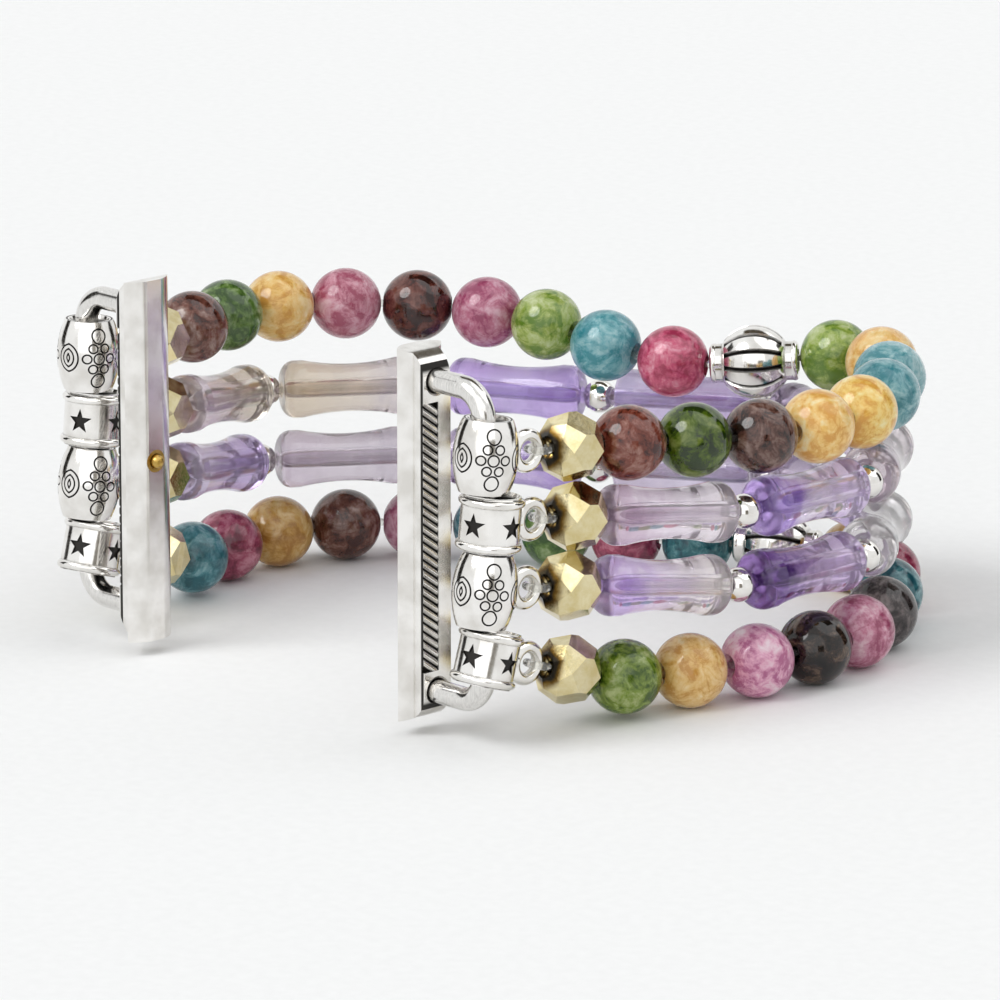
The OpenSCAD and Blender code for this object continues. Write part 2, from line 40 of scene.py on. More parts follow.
def addNode(tree, kind, settings=None, links=None):
    # settings first, by socket name or number or as the node's own property, then links into its sockets
    node = tree.nodes.new(kind)
    for key, value in (settings or {}).items():
        if isinstance(key, int) or key in node.inputs:
            node.inputs[key].default_value = value
        else:
            setattr(node, key, value)
    for key, source in (links or {}).items():
        tree.links.new(source, node.inputs[key])
    return node


def newMaterial(name):
    material = bpy.data.materials.new(name)
    material.use_nodes = True
    tree = material.node_tree
    tree.nodes.clear()
    place = addNode(tree, "ShaderNodeTexCoord").outputs["Object"]
    return material, tree, place


def finishMaterial(tree, settings, links):
    shader = addNode(tree, "ShaderNodeBsdfPrincipled", settings, links)
    addNode(tree, "ShaderNodeOutputMaterial", None, {"Surface": shader.outputs[0]})


def dress(names, material):
    for name in names:
        mesh = nodes[name].data
        mesh.materials.clear()
        mesh.materials.append(material)


def rampStops(ramp, stops):
    # a colour ramp's stops as (position, hex)
    elements = ramp.color_ramp.elements
    while len(elements) < len(stops):
        elements.new(0.5)
    for element, (at, colour) in zip(elements, stops):
        element.position = at
        element.color = linear(colour)


# Camera and studio
studio = {
    "lookAt": (5.95, -9.25, 14.14),     # mm
    "back": (0.6994, -0.6695, 0.2502),  # from the strap to the camera
    "distance": 676.8,                  # mm
    "lens": 282.5,
    "paper": "#f7f8f8",
    "skyLight": 0.48,
    "keyFrom": (-0.17, -0.68, 0.72),
    "keySize": 34,                      # degrees across, a softbox
    "keyPower": 1.45,
    "topFrom": (0.25, 0.45, 0.86),
    "topSize": 65,
    "topPower": 0.70,
    "fillFrom": (0.62, -0.70, 0.35),    # a reflector beside the camera
    "fillSize": 70,
    "fillPower": 0.55,
    "floorHalf": 4.0,                   # m
    "cardAway": 0.5,                    # m from the strap
    "cardUp": 0.015,                    # m
    "fibre": 900.0,                     # pattern scale of the paper
    "nap": 300.0,                       # and of the felt
}

# felt cards: toward them from the strap as (camera, right, up), size in metres, tones
cards = {
    "right": {"toward": (-0.35, 1.0, 0.1), "size": (0.20, 0.7), "tone": "#1c1916", "nap": "#2b2824"},
    "left": {"toward": (-0.35, -1.0, 0.1), "size": (0.20, 0.7), "tone": "#1c1916", "nap": "#2b2824"},
    "high": {"toward": (-0.25, 0.2, 1.0), "size": (0.55, 0.22), "tone": "#453d30", "nap": "#554c3e"},
    "front": {"toward": (1.0, 0.35, -0.1), "size": (0.16, 0.16), "tone": "#8f8a80", "nap": "#a09a90"},
}


def makeCamera():
    data = bpy.data.cameras.new("photoCamera")
    data.lens = studio["lens"]
    data.sensor_width = 36
    data.clip_start = 0.01
    camera = bpy.data.objects.new("photoCamera", data)
    bpy.context.scene.collection.objects.link(camera)
    back = Vector(studio["back"]).normalized()
    camera.location = (Vector(studio["lookAt"]) + back * studio["distance"]) * mm
    camera.rotation_euler = back.to_track_quat("Z", "Y").to_euler()
    bpy.context.scene.camera = camera


def makeSun(name, source, size, power):
    data = bpy.data.lights.new(name, "SUN")
    data.energy = power
    data.angle = math.radians(size)
    light = bpy.data.objects.new(name, data)
    bpy.context.scene.collection.objects.link(light)
    light.rotation_euler = Vector(source).to_track_quat("Z", "Y").to_euler()


def makeCard(name, corners, material):
    # a studio card that only gloss sees
    mesh = bpy.data.meshes.new(name)
    mesh.from_pydata([tuple(c) for c in corners], [], [(0, 1, 2, 3)])
    card = bpy.data.objects.new(name, mesh)
    bpy.context.scene.collection.objects.link(card)
    mesh.materials.append(material)
    card.visible_camera = False
    card.visible_diffuse = False
    card.visible_transmission = False
    card.visible_shadow = False


def makeStudio():
    world = bpy.data.worlds.new("paperSweep")
    bpy.context.scene.world = world
    world.use_nodes = True
    tree = world.node_tree
    tree.nodes.clear()
    path = addNode(tree, "ShaderNodeLightPath")
    seen = addNode(tree, "ShaderNodeMath", {"operation": "MAXIMUM"},
                   {0: path.outputs["Is Camera Ray"], 1: path.outputs["Is Glossy Ray"]})
    seen = addNode(tree, "ShaderNodeMath", {"operation": "MAXIMUM"},
                   {0: seen.outputs[0], 1: path.outputs["Is Transmission Ray"]})
    fill = addNode(tree, "ShaderNodeBackground",
                   {"Color": linear("#ffffff"), "Strength": studio["skyLight"]})
    paper = addNode(tree, "ShaderNodeBackground", {"Color": linear(studio["paper"]), "Strength": 1.0})
    mix = addNode(tree, "ShaderNodeMixShader", None,
                  {0: seen.outputs[0], 1: fill.outputs[0], 2: paper.outputs[0]})
    addNode(tree, "ShaderNodeOutputWorld", None, {"Surface": mix.outputs[0]})

    # matt paper with a faint fibre tone
    paperSheet, tree, place = newMaterial("matt_paper_rolled")
    fibre = addNode(tree, "ShaderNodeTexNoise", {"Scale": studio["fibre"], "Detail": 3.0}, {"Vector": place})
    ramp = addNode(tree, "ShaderNodeValToRGB", None, {0: fibre.outputs["Fac"]})
    rampStops(ramp, [(0.3, "#eff0f0"), (0.7, "#f2f3f3")])
    finishMaterial(tree, {"Roughness": 0.9, "Specular IOR Level": 0.1}, {"Base Color": ramp.outputs[0]})
    mesh = bpy.data.meshes.new("floor")
    half = studio["floorHalf"]
    mesh.from_pydata([(-half, -half, 0), (half, -half, 0), (half, half, 0), (-half, half, 0)], [],
                     [(0, 1, 2, 3)])
    floor = bpy.data.objects.new("floor", mesh)
    bpy.context.scene.collection.objects.link(floor)
    mesh.materials.append(paperSheet)

    # felt cards, seen only by gloss, give metal its darker edges
    back = Vector(studio["back"]).normalized()
    right = Vector((-back.y, back.x, 0)).normalized()
    up = back.cross(right)
    for name, card in cards.items():
        felt, tree, place = newMaterial("wool_felt_" + name)
        nap = addNode(tree, "ShaderNodeTexNoise", {"Scale": studio["nap"]}, {"Vector": place})
        ramp = addNode(tree, "ShaderNodeValToRGB", None, {0: nap.outputs["Fac"]})
        rampStops(ramp, [(0.2, card["tone"]), (0.8, card["nap"])])
        finishMaterial(tree, {"Roughness": 1.0, "Specular IOR Level": 0.0}, {"Base Color": ramp.outputs[0]})
        a, b, c = card["toward"]
        toward = (back * a + right * b + up * c).normalized()
        middle = toward * studio["cardAway"] + Vector((0, 0, studio["cardUp"]))
        side = toward.cross(Vector((0, 0, 1))).normalized()
        rise = side.cross(toward)
        width, height = card["size"]
        corners = [middle + side * i * width / 2 + rise * j * height / 2
                   for i, j in ((-1, -1), (1, -1), (1, 1), (-1, 1))]
        makeCard("card_" + name, corners, felt)


bpy.context.scene.view_settings.view_transform = "Standard"
makeCamera()
makeSun("key_softbox", studio["keyFrom"], studio["keySize"], studio["keyPower"])
makeSun("top_softbox", studio["topFrom"], studio["topSize"], studio["topPower"])
makeSun("front_reflector", studio["fillFrom"], studio["fillSize"], studio["fillPower"])
makeStudio()
print("camera, lights and paper sweep are set")


# Cast silver, plated, polished and blackened: bright skin, black in every groove
silver = {
    "bright": "#f3f1ee",
    "worn": "#dedbd6",
    "black": "#17130f",
    "crevice": 0.42,      # mm that the black reaches from a groove's corner
    "wander": 0.22,       # how far the edge of the black wanders
    "blackRough": 0.55,
    "blackMetal": 0.35,
    "polish": 0.13,       # roughness of the raised skin
    "blotch": 0.5,        # mm across an uneven patch of the blackening
    "wear": 2.2,          # mm across a handled patch
    "scuff": 0.25,        # mm across a scuff
    "relief": 0.03,       # mm that the cast skin rises and falls
}


def castSilver(name, crevice=None, amount=(0.50, 0.88), polish=None, dark=None, dent=0.16):
    material, tree, place = newMaterial(name)
    groove = addNode(tree, "ShaderNodeAmbientOcclusion",
                     {"samples": 10, "only_local": True, "Distance": (crevice or silver["crevice"]) * mm})
    blotch = addNode(tree, "ShaderNodeTexNoise",
                     {"Scale": 1 / (silver["blotch"] * mm), "Detail": 4.0, "Roughness": 0.6},
                     {"Vector": place})
    uneven = addNode(tree, "ShaderNodeMath",
                     {"operation": "MULTIPLY_ADD", 1: silver["wander"], 2: -silver["wander"] / 2},
                     {0: blotch.outputs["Fac"]})
    shade = addNode(tree, "ShaderNodeMath", {"operation": "ADD"},
                    {0: groove.outputs["AO"], 1: uneven.outputs[0]})
    clean = addNode(tree, "ShaderNodeMapRange",
                    {"interpolation_type": "SMOOTHSTEP", 1: amount[0], 2: amount[1]},
                    {0: shade.outputs[0]})
    if dark:  # extra black where the piece's own form asks for it
        clean = addNode(tree, "ShaderNodeMath", {"operation": "MULTIPLY"},
                        {0: clean.outputs[0], 1: dark(tree, place)})
    wear = addNode(tree, "ShaderNodeTexNoise", {"Scale": 1 / (silver["wear"] * mm), "Detail": 3.0},
                   {"Vector": place})
    skin = addNode(tree, "ShaderNodeValToRGB", None, {0: wear.outputs["Fac"]})
    rampStops(skin, [(0.35, silver["worn"]), (0.62, silver["bright"])])
    colour = addNode(tree, "ShaderNodeMix", {"data_type": "RGBA", 6: linear(silver["black"])},
                     {0: clean.outputs[0], 7: skin.outputs[0]})
    scuff = addNode(tree, "ShaderNodeTexNoise", {"Scale": 1 / (silver["scuff"] * mm), "Detail": 2.0},
                    {"Vector": place})
    gloss = addNode(tree, "ShaderNodeMapRange",
                    {3: (polish or silver["polish"]) - 0.05, 4: (polish or silver["polish"]) + 0.06},
                    {0: scuff.outputs["Fac"]})
    rough = addNode(tree, "ShaderNodeMix", {2: silver["blackRough"]},
                    {0: clean.outputs[0], 3: gloss.outputs[0]})
    metal = addNode(tree, "ShaderNodeMapRange", {3: silver["blackMetal"], 4: 1.0}, {0: clean.outputs[0]})
    dents = addNode(tree, "ShaderNodeBump", {"Strength": dent, "Distance": silver["relief"] * mm},
                    {"Height": blotch.outputs["Fac"]})
    finishMaterial(tree, {}, {"Base Color": colour.outputs[2], "Roughness": rough.outputs[0],
                              "Metallic": metal.outputs[0], "Normal": dents.outputs[0]})
    return material


def axisOf(joint):
    return Vector(joint["pos_m"]), Vector(joint["axis"]).normalized()


def alongAxis(tree, place, middle, axis):
    # signed distance along an axis, in mm
    offset = addNode(tree, "ShaderNodeVectorMath", {"operation": "SUBTRACT", 1: tuple(middle)}, {0: place})
    dot = addNode(tree, "ShaderNodeVectorMath", {"operation": "DOT_PRODUCT", 1: tuple(axis)},
                  {0: offset.outputs[0]})
    return addNode(tree, "ShaderNodeMath", {"operation": "MULTIPLY", 1: 1 / mm},
                   {0: dot.outputs["Value"]}).outputs[0]


def roundAxis(tree, place, middle, axis):
    # height along an axis and distance from it, both in mm
    offset = addNode(tree, "ShaderNodeVectorMath", {"operation": "SUBTRACT", 1: tuple(middle)}, {0: place})
    offset = addNode(tree, "ShaderNodeVectorMath", {"operation": "SCALE", "Scale": 1 / mm},
                     {0: offset.outputs[0]})
    dot = addNode(tree, "ShaderNodeVectorMath", {"operation": "DOT_PRODUCT", 1: tuple(axis)},
                  {0: offset.outputs[0]})
    cross = addNode(tree, "ShaderNodeVectorMath", {"operation": "CROSS_PRODUCT", 1: tuple(axis)},
                    {0: offset.outputs[0]})
    far = addNode(tree, "ShaderNodeVectorMath", {"operation": "LENGTH"}, {0: cross.outputs[0]})
    return dot.outputs["Value"], far.outputs["Value"]


def both(tree, first, second):
    return addNode(tree, "ShaderNodeMath", {"operation": "MULTIPLY"}, {0: first, 1: second}).outputs[0]


# each bail: its middle in mm and the way its ring points
bails = {
    "near_bail_1": ((25.58, -29.661, 25.282), (-0.001, 0.9959, -0.0899)),
    "far_bail_1": ((-24.38, -29.663, 25.291), (-0.1533, 0.9872, -0.0439)),
    "near_bail_2": ((25.582, -29.165, 19.469), (0.0024, 0.9933, -0.1156)),
    "far_bail_2": ((-24.458, -29.174, 19.469), (-0.1554, 0.9811, -0.1156)),
    "near_bail_3": ((25.58, -29.794, 13.791), (-0.0021, 0.99, -0.141)),
    "far_bail_3": ((-24.359, -29.795, 13.791), (-0.1508, 0.9785, -0.141)),
    "near_bail_4": ((25.58, -29.525, 7.948), (-0.0013, 0.957, -0.2901)),
    "far_bail_4": ((-24.4, -29.529, 7.948), (-0.1465, 0.9457, -0.2901)),
}
# sizes in mm; cut: how deep under the skin the black is full and where it ends
# pastCut: deeper than any cut line; boreBlack: how far from the bore's wall the black thins and ends
barrel = {"middle": 2.75, "bow": 7.717, "bore": 1.5, "cut": (0.12, 0.03), "pastCut": 0.22,
          "boreBlack": (0.02, 0.2)}
starTube = {"skin": 2.55, "bore": 2.0, "band": 1.25, "cut": (0.12, 0.03), "boreBlack": (0.04, 0.2)}


def barrelBlack(middle, axis):
    # black on the floor of every cut line and inside the bore
    def dark(tree, place):
        height, away = roundAxis(tree, place, middle, axis)
        square = addNode(tree, "ShaderNodeMath", {"operation": "MULTIPLY"}, {0: height, 1: height})
        left = addNode(tree, "ShaderNodeMath", {"operation": "SUBTRACT", 0: barrel["bow"] ** 2},
                       {1: square.outputs[0]})
        root = addNode(tree, "ShaderNodeMath", {"operation": "SQRT"}, {0: left.outputs[0]})
        inner = addNode(tree, "ShaderNodeMath", {"operation": "SUBTRACT"}, {0: away, 1: root.outputs[0]})
        skinAt = barrel["middle"] - barrel["bow"]
        high = addNode(tree, "ShaderNodeMapRange",
                       {"interpolation_type": "SMOOTHSTEP",
                        1: skinAt - barrel["cut"][0], 2: skinAt - barrel["cut"][1]},
                       {0: inner.outputs[0]})
        past = addNode(tree, "ShaderNodeMath", {"operation": "LESS_THAN", 1: skinAt - barrel["pastCut"]},
                       {0: inner.outputs[0]})
        skin = addNode(tree, "ShaderNodeMath", {"operation": "MAXIMUM"},
                       {0: high.outputs[0], 1: past.outputs[0]})
        bore = addNode(tree, "ShaderNodeMapRange",
                       {"interpolation_type": "SMOOTHSTEP",
                        1: barrel["bore"] + barrel["boreBlack"][0],
                        2: barrel["bore"] + barrel["boreBlack"][1]}, {0: away})
        return both(tree, skin.outputs[0], bore.outputs[0])
    return dark


def starBlack(middle, axis):
    # black in the sunk stars and inside the bore
    def dark(tree, place):
        height, away = roundAxis(tree, place, middle, axis)
        high = addNode(tree, "ShaderNodeMapRange",
                       {"interpolation_type": "SMOOTHSTEP",
                        1: starTube["skin"] - starTube["cut"][0],
                        2: starTube["skin"] - starTube["cut"][1]}, {0: away})
        level = addNode(tree, "ShaderNodeMath", {"operation": "ABSOLUTE"}, {0: height})
        rim = addNode(tree, "ShaderNodeMath", {"operation": "GREATER_THAN", 1: starTube["band"]},
                      {0: level.outputs[0]})
        skin = addNode(tree, "ShaderNodeMath", {"operation": "MAXIMUM"},
                       {0: high.outputs[0], 1: rim.outputs[0]})
        bore = addNode(tree, "ShaderNodeMapRange",
                       {"interpolation_type": "SMOOTHSTEP",
                        1: starTube["bore"] + starTube["boreBlack"][0],
                        2: starTube["bore"] + starTube["boreBlack"][1]}, {0: away})
        return both(tree, skin.outputs[0], bore.outputs[0])
    return dark


for name, (middle, way) in bails.items():
    way = Vector(way)
    upright = (Vector((0, 0, 1)) - way * way.z).normalized()
    middle = Vector(middle) * mm
    if name[-1] in "13":
        metal = castSilver("cast_silver_blackened_" + name, crevice=0.34, dark=barrelBlack(middle, upright))
    else:
        metal = castSilver("cast_silver_blackened_" + name, crevice=0.42, dark=starBlack(middle, upright))
    dress([name], metal)
flutedSilver = castSilver("cast_silver_blackened_fluted", crevice=0.8, amount=(0.55, 0.9))
dress(["guru_1", "guru_4"], flutedSilver)
ballSilver = castSilver("silver_ball_tumbled", crevice=0.5, amount=(0.3, 0.6), polish=0.07)
dress(["balls_2", "balls_3"], ballSilver)
print("bails and silver beads are dressed")


# Adapters: cast rail, polished on the back half, black between the rope's strands
rail = {
    "black": (0.06, 0.2),    # mm under the face where the black starts and is full
    "band": 0.45,            # mm, the sunk band is no deeper
    "crevice": 0.5,
    "amount": (0.34, 0.7),
    "polish": 0.16,
    "dent": 0.05,
}


def adapterSilver(name, faceX, out):
    # out is +1 where the bow side faces +X
    def ropeBlack(tree, place):
        split = addNode(tree, "ShaderNodeSeparateXYZ", None, {0: place})
        depth = addNode(tree, "ShaderNodeMath",
                        {"operation": "MULTIPLY_ADD", 1: -out / mm, 2: out * faceX / mm},
                        {0: split.outputs[0]})
        low = addNode(tree, "ShaderNodeMapRange",
                      {"interpolation_type": "SMOOTHSTEP",
                       1: rail["black"][0], 2: rail["black"][1], 3: 1.0, 4: 0.0},
                      {0: depth.outputs[0]})
        # only the sunk band, not the rail behind it
        behind = addNode(tree, "ShaderNodeMath", {"operation": "GREATER_THAN", 1: rail["band"]},
                         {0: depth.outputs[0]})
        return addNode(tree, "ShaderNodeMath", {"operation": "MAXIMUM"},
                       {0: low.outputs[0], 1: behind.outputs[0]}).outputs[0]
    return castSilver(name, crevice=rail["crevice"], amount=rail["amount"], polish=rail["polish"],
                      dark=ropeBlack, dent=rail["dent"])


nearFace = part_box("near_lug")[1].x
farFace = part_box("far_lug")[0].x
dress(["near_lug"], adapterSilver("cast_silver_rail_near", nearFace, 1))
dress(["far_lug"], adapterSilver("cast_silver_rail_far", farFace, -1))

# Bow wire: drawn, bent and polished, fine draw lines along it
bow = {
    "bright": "#efedea",
    "dull": "#d2d0cd",
    "line": 0.12,            # mm across a draw line
    "stretch": 0.06,         # the pattern's scale along the bar, so that the lines run with it
    "gloss": (0.08, 0.22),
}


def drawnWire(name):
    material, tree, place = newMaterial(name)
    stretch = addNode(tree, "ShaderNodeMapping", {"Scale": (1.0, 1.0, bow["stretch"])},
                      {"Vector": place})
    lines = addNode(tree, "ShaderNodeTexNoise", {"Scale": 1 / (bow["line"] * mm), "Detail": 3.0},
                    {"Vector": stretch.outputs[0]})
    tone = addNode(tree, "ShaderNodeValToRGB", None, {0: lines.outputs["Fac"]})
    rampStops(tone, [(0.3, bow["dull"]), (0.7, bow["bright"])])
    gloss = addNode(tree, "ShaderNodeMapRange", {3: bow["gloss"][0], 4: bow["gloss"][1]},
                    {0: lines.outputs["Fac"]})
    bump = addNode(tree, "ShaderNodeBump", {"Strength": 0.08, "Distance": 0.02 * mm},
                   {"Height": lines.outputs["Fac"]})
    finishMaterial(tree, {"Metallic": 1.0}, {"Base Color": tone.outputs[0], "Roughness": gloss.outputs[0],
                                              "Normal": bump.outputs[0]})
    return material


wire = drawnWire("silver_wire_drawn")
dress(["near_bow", "far_bow"], wire)


# Detent: turned brass plunger and collar, rings left by the tool
detent = {
    "brass": "#c9a860",
    "dark": "#a5853f",
    "turning": 0.10,         # mm between turning rings
    "stain": 0.4,            # mm across a stain
    "gloss": (0.18, 0.34),
}


def turnedBrass(name, middle):
    material, tree, place = newMaterial(name)
    offset = addNode(tree, "ShaderNodeVectorMath", {"operation": "SUBTRACT", 1: tuple(middle)}, {0: place})
    rings = addNode(tree, "ShaderNodeTexWave",
                    {"wave_type": "BANDS", "bands_direction": "X",
                     "Scale": 1 / (detent["turning"] * mm * 20), "Distortion": 1.5},
                    {"Vector": offset.outputs[0]})
    stain = addNode(tree, "ShaderNodeTexNoise", {"Scale": 1 / (detent["stain"] * mm), "Detail": 3.0},
                    {"Vector": place})
    tone = addNode(tree, "ShaderNodeValToRGB", None, {0: stain.outputs["Fac"]})
    rampStops(tone, [(0.3, detent["dark"]), (0.65, detent["brass"])])
    gloss = addNode(tree, "ShaderNodeMapRange", {3: detent["gloss"][0], 4: detent["gloss"][1]},
                    {0: rings.outputs["Fac"]})
    bump = addNode(tree, "ShaderNodeBump", {"Strength": 0.1, "Distance": 0.02 * mm},
                   {"Height": rings.outputs["Fac"]})
    finishMaterial(tree, {"Metallic": 1.0}, {"Base Color": tone.outputs[0], "Roughness": gloss.outputs[0],
                                              "Normal": bump.outputs[0]})
    return material


for side in ("near", "far"):
    low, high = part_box(side + "_plunger")
    brass = turnedBrass("brass_turned_" + side, (low + high) / 2)
    dress([side + "_plunger", side + "_collar"], brass)
    dress([side + "_spring"], drawnWire("spring_steel_drawn_" + side))
print("adapters, bows and detents are dressed")


# Faceted beads: stone cut flat and coated in gilt, bronze towards the hole
gilt = {
    "bright": "#f9edc2",
    "mid": "#e6d49a",
    "bronze": "#6a4f1c",
    "pole": "#2b2822",
    "film": 1.6,             # mm across a patch of the film
    "speck": 0.16,           # mm across a speck
    "dull": 0.70,            # share of the gilt's tone that the darkest facet keeps, a painted reflection difference between facets
    "bronzeAt": (1.85, 2.25),  # mm along the hole, from the bead's middle
    "poleAt": (2.18, 2.38),
    "gloss": (0.07, 0.2),
}


def giltFacets(name, joint):
    material, tree, place = newMaterial(name)
    middle, axis = axisOf(joint)
    reach = alongAxis(tree, place, middle, axis)
    reach = addNode(tree, "ShaderNodeMath", {"operation": "ABSOLUTE"}, {0: reach}).outputs[0]
    film = addNode(tree, "ShaderNodeTexNoise",
                   {"Scale": 1 / (gilt["film"] * mm), "Detail": 5.0, "Roughness": 0.65},
                   {"Vector": place})
    tone = addNode(tree, "ShaderNodeValToRGB", None, {0: film.outputs["Fac"]})
    rampStops(tone, [(0.34, gilt["mid"]), (0.62, gilt["bright"])])
    # painted reflection: each facet gets a random darker tone in place of the differing reflections the
    # facets would mirror
    face = addNode(tree, "ShaderNodeNewGeometry").outputs["True Normal"]
    face = addNode(tree, "ShaderNodeVectorMath", {"operation": "SNAP", 1: (0.06, 0.06, 0.06)}, {0: face})
    facetReflectionNoise = addNode(tree, "ShaderNodeTexWhiteNoise", {"noise_dimensions": "3D"},
                     {"Vector": face.outputs[0]})
    # the painted facet reflection tone, from the dullest share up to full gilt
    own = addNode(tree, "ShaderNodeMapRange", {3: gilt["dull"], 4: 1.0}, {0: facetReflectionNoise.outputs["Value"]})
    tone = addNode(tree, "ShaderNodeMix", {"data_type": "RGBA", "blend_type": "MULTIPLY", 0: 1.0},
                   {6: tone.outputs[0], 7: own.outputs[0]})
    speck = addNode(tree, "ShaderNodeTexNoise", {"Scale": 1 / (gilt["speck"] * mm), "Detail": 2.0},
                    {"Vector": place})
    uneven = addNode(tree, "ShaderNodeMath", {"operation": "MULTIPLY_ADD", 1: 0.5, 2: -0.25},
                     {0: film.outputs["Fac"]})
    ragged = addNode(tree, "ShaderNodeMath", {"operation": "ADD"}, {0: reach, 1: uneven.outputs[0]})
    toHole = addNode(tree, "ShaderNodeMapRange",
                     {"interpolation_type": "SMOOTHSTEP", 1: gilt["bronzeAt"][0], 2: gilt["bronzeAt"][1]},
                     {0: ragged.outputs[0]})
    toPole = addNode(tree, "ShaderNodeMapRange",
                     {"interpolation_type": "SMOOTHSTEP", 1: gilt["poleAt"][0], 2: gilt["poleAt"][1]},
                     {0: ragged.outputs[0]})
    colour = addNode(tree, "ShaderNodeMix", {"data_type": "RGBA", 7: linear(gilt["bronze"])},
                     {0: toHole.outputs[0], 6: tone.outputs[2]})
    colour = addNode(tree, "ShaderNodeMix", {"data_type": "RGBA", 7: linear(gilt["pole"])},
                     {0: toPole.outputs[0], 6: colour.outputs[2]})
    gloss = addNode(tree, "ShaderNodeMapRange",
                    {1: 0.35, 2: 0.7, 3: gilt["gloss"][0], 4: gilt["gloss"][1]},
                    {0: speck.outputs["Fac"]})
    bump = addNode(tree, "ShaderNodeBump", {"Strength": 0.05, "Distance": 0.02 * mm},
                   {"Height": speck.outputs["Fac"]})
    finishMaterial(tree, {"Metallic": 1.0}, {"Base Color": colour.outputs[2], "Roughness": gloss.outputs[0],
                                              "Normal": bump.outputs[0]})
    return material


for side in ("near", "far"):
    for row in (1, 2, 3, 4):
        dress([f"{side}_gold_{row}"],
              giltFacets(f"gilt_facets_{side}_{row}", joints[f"{side}_gold_{row}_spin"]))
print("gilt beads are dressed")


# Round stones: polished tourmaline, cloudy, with veils and a glow where light comes through
stone = {
    "cloud": 1.9,       # mm across a cloud
    "mottle": 0.55,     # mm across a fleck
    "crack": 4.2,       # mm between healed cracks
    "veins": -0.12,     # how dark the cracks are
    "polish": 0.06,
    "reach": 3.4,       # mm from its middle that a stone's own colours cover
    "glow": 0.9,        # mm that light travels under the skin
    "ior": 1.62,
    "shine": 0.36,      # lowered, so that dark stones stay dark under the pale room
}
# each stone: its middle in mm, then its deep, body and pale colour
# clear: share of light let through; bloom: pale haze at the stone's edge
stones = {
    "brown": {"clear": 0.30, "bloom": 0.05, "list": [
        ((26.8, -14.3, 23.9), "#45140b", "#823f2f", "#b0877b"),
        ((29.9, -1.8, 22.9), "#220c07", "#634036", "#9c8278"),
        ((-23.8, 8.9, 23.5), "#2c0d09", "#602e25", "#8a5a4f"),
        ((-27.8, -14.6, 24.6), "#431f18", "#7a4a3d", "#b1988e"),
        ((-28.0, 3.9, 3.2), "#3f1c15", "#724739", "#a88a80")]},
    "green": {"clear": 0.34, "bloom": 0.04, "list": [
        ((28.2, -8.0, 23.3), "#1c3203", "#50680c", "#88964a"),
        ((11.2, 27.0, 21.9), "#688a2c", "#a4ba58", "#d4deaa"),
        ((-12.0, 13.7, 22.9), "#668a2a", "#a8ba60", "#d8e2b0"),
        ((-30.0, -8.5, 24.3), "#36551e", "#66863e", "#a9bb8c"),
        ((26.7, -14.6, 3.6), "#426012", "#869f38", "#c8d394"),
        ((-12.6, 15.5, 3.2), "#35561c", "#66863f", "#aebf8e")]},
    "yellow": {"clear": 0.24, "bloom": 0.3, "list": [
        ((30.4, 4.7, 22.7), "#e0a850", "#f8cf7c", "#ffecb8"),
        ((29.4, 11.1, 22.7), "#e0a94a", "#f9d67a", "#fff0b4"),
        ((17.5, 26.1, 22.5), "#e0aa56", "#f6ce84", "#ffecbc"),
        ((-30.3, -2.0, 24.0), "#d29c48", "#eec472", "#f9e0a8"),
        ((28.2, -8.2, 3.2), "#d09a4a", "#f0c87e", "#ffe6b4"),
        ((11.6, 29.1, 3.2), "#b7833b", "#d8ae63", "#eed39a"),
        ((-30.4, -2.2, 3.2), "#b07d36", "#d4a85c", "#ecd094")]},
    "teal": {"clear": 0.34, "bloom": 0.12, "list": [
        ((26.6, 16.9, 22.7), "#3c8a96", "#7cb4bb", "#bfe0e3"),
        ((22.5, 21.9, 22.7), "#4d97a1", "#88bcc2", "#c8e4e6"),
        ((-5.8, 15.0, 21.9), "#3f929d", "#7ab8c0", "#bde0e3"),
        ((22.3, 22.1, 3.2), "#1a525f", "#3f7f89", "#8abcc1"),
        ((-1.3, 22.3, 3.2), "#154b57", "#37787f", "#84b7bb"),
        ((-18.4, 12.6, 3.2), "#2b6d79", "#5c98a2", "#a9cfd3"),
        ((-27.7, -14.9, 3.6), "#236470", "#4c8c97", "#99c5ca")]},
    "crimson": {"clear": 0.30, "bloom": 0.10, "list": [
        ((0.0, 17.7, 20.9), "#a83456", "#d86284", "#eeaabb"),
        ((17.7, 26.7, 3.2), "#701c38", "#a2405c", "#d38a9c"),
        ((-6.8, 18.8, 3.2), "#762040", "#a64562", "#d68fa2"),
        ((-29.9, -8.8, 3.2), "#721d3b", "#a2425e", "#d28d9f")]},
    "pink": {"clear": 0.28, "bloom": 0.15, "list": [
        ((-18.4, 12.4, 23.2), "#9e4568", "#c67b95", "#e4b8c8"),
        ((-28.0, 4.0, 23.8), "#a65069", "#d290a2", "#eac4ce"),
        ((29.9, -1.9, 3.2), "#bc6a96", "#eeb2cc", "#fde8f0"),
        ((29.4, 11.1, 3.2), "#a4506f", "#d48ca6", "#f2cdd8"),
        ((-23.8, 8.9, 3.2), "#974a6a", "#be7b94", "#e0b3c3")]},
    "black": {"clear": 0.10, "bloom": 0.03, "list": [
        ((30.4, 4.6, 3.2), "#090605", "#30221b", "#7c6552"),
        ((26.5, 17.0, 3.2), "#221d1c", "#4a4343", "#837977")]},
}


